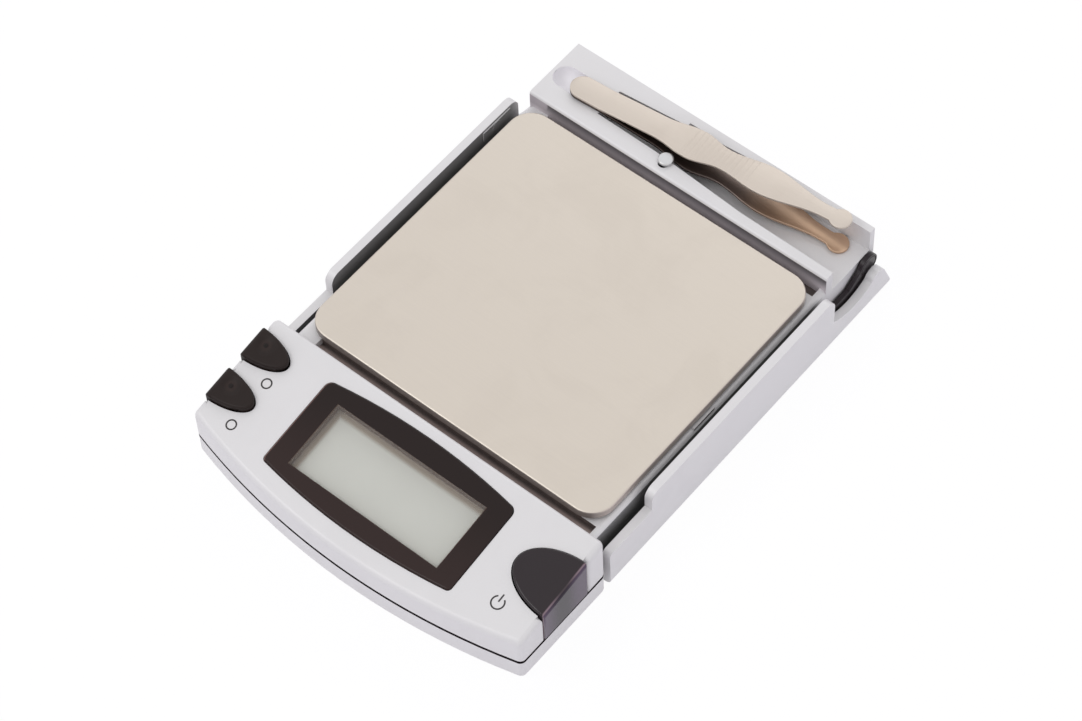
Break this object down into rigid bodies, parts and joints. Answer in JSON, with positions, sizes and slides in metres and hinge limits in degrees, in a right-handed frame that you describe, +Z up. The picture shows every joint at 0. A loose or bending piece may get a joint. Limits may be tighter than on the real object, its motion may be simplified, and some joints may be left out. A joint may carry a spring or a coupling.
{
  "type": "pocket scale",
  "caption": "Pocket scale with a tilted control panel, a square weighing plate, tweezers in a rear recess and a cover that swings over on two arms and folds flat beneath it",
  "frame": {"origin": "middle of the footprint on the table, at the bottom of the folded cover and control section", "axes": "+X is the power key side, +Y the hinge end with the tweezers, +Z up off the table"},
  "size_m": [0.0784, 0.1144, 0.0198],
  "materials": {
    "silver_case": "satin silver paint on moulded plastic",
    "bezel_gloss": "gloss, near black",
    "clear_pane": "clear, polished",
    "lcd": "grey-green, blank",
    "inner_plastic": "moulded, off-white",
    "conductive_rubber": "pink silicone",
    "board": "green solder mask",
    "components": "black",
    "key_plastic": "satin, near black",
    "key_gloss": "gloss, near black",
    "plate_steel": "fine brushed, warm grey",
    "plated_steel": "plated",
    "beam": "machined",
    "foil": "amber film",
    "pad_rubber": "soft, dark grey",
    "holder_plastic": "moulded, dark grey",
    "spring_brass": "bright",
    "arm_black": "black, satin",
    "tweezers_steel": "fine brushed, warm"
  },
  "bodies": {
    "case": {"lower_shell": "silver_case", "upper_shell": "silver_case", "rear_block": "silver_case", "case_screws": "plated_steel", "display_bezel": "bezel_gloss", "display_window": "clear_pane", "lcd_panel": "lcd", "lcd_holder": "inner_plastic", "lcd_connector": "conductive_rubber", "circuit_board": "board", "board_parts": "components", "board_screws": "plated_steel", "key_switches": "components", "load_cell": "beam", "load_cell_screws": "plated_steel", "strain_gauges": "foil", "gauge_ribbon": "foil", "battery_holder": "holder_plastic", "coin_cells": "plated_steel", "battery_contacts": "spring_brass", "arm_pins": "arm_black", "tweezers_catch": "plated_steel"},
    "unit_key": {"unit_key": "key_plastic"},
    "tare_key": {"tare_key": "key_plastic"},
    "power_key": {"power_key": "key_gloss"},
    "platform": {"weighing_plate": "plate_steel", "plate_pads": "pad_rubber", "plate_carrier": "inner_plastic", "carrier_screws": "plated_steel"},
    "battery_door": {"battery_door": "silver_case"},
    "arms": {"swing_arm_left": "arm_black", "swing_arm_right": "arm_black"},
    "cover": {"folding_cover": "silver_case", "cover_pins": "arm_black"},
    "tweezers": {"tweezers_lower_leg": "tweezers_steel"},
    "tweezers_upper_leg": {"tweezers_upper_leg": "tweezers_steel"}
  },
  "joints": [
    {"name": "unit_key_press", "type": "slide", "parent": "case", "child": "unit_key", "axis": [0, 0.1793, -0.9838], "range_m": [0, 0.0003], "stiffness_N_per_m": 2000},
    {"name": "tare_key_press", "type": "slide", "parent": "case", "child": "tare_key", "axis": [0, 0.1793, -0.9838], "range_m": [0, 0.0003], "stiffness_N_per_m": 2000},
    {"name": "power_key_press", "type": "slide", "parent": "case", "child": "power_key", "axis": [0, 0.1793, -0.9838], "range_m": [0, 0.0003], "stiffness_N_per_m": 2000},
    {"name": "plate_sink", "type": "slide", "parent": "case", "child": "platform", "axis": [0, 0, -1], "range_m": [0, 0.0003], "stiffness_N_per_m": 8000},
    {"name": "battery_door_tilt", "type": "hinge", "parent": "case", "child": "battery_door", "pos_m": [0, -0.03155, 0.0008], "axis": [1, 0, 0], "range_deg": [0, 90]},
    {"name": "arm_swing", "type": "hinge", "parent": "case", "child": "arms", "pos_m": [0, 0.0527, 0.009], "axis": [1, 0, 0], "range_deg": [0, 341.59]},
    {"name": "cover_turn", "type": "hinge", "parent": "arms", "child": "cover", "pos_m": [0, 0.01465, 0.005], "axis": [1, 0, 0], "range_deg": [-161.6, 0]},
    {"name": "tweezers_lift", "type": "slide", "parent": "case", "child": "tweezers", "axis": [0, 0, 1], "range_m": [0, 0.025]},
    {"name": "tweezers_squeeze", "type": "hinge", "parent": "tweezers", "child": "tweezers_upper_leg", "pos_m": [-0.02209, 0.04767, 0.0173], "axis": [-0.0776, 0.997, 0], "range_deg": [0, 7], "stiffness_Nm_per_rad": 0.03}
  ],
  "couplings": [
    {"joint": "cover_turn", "follows": "arm_swing", "ratio": -0.47306}
  ]
}
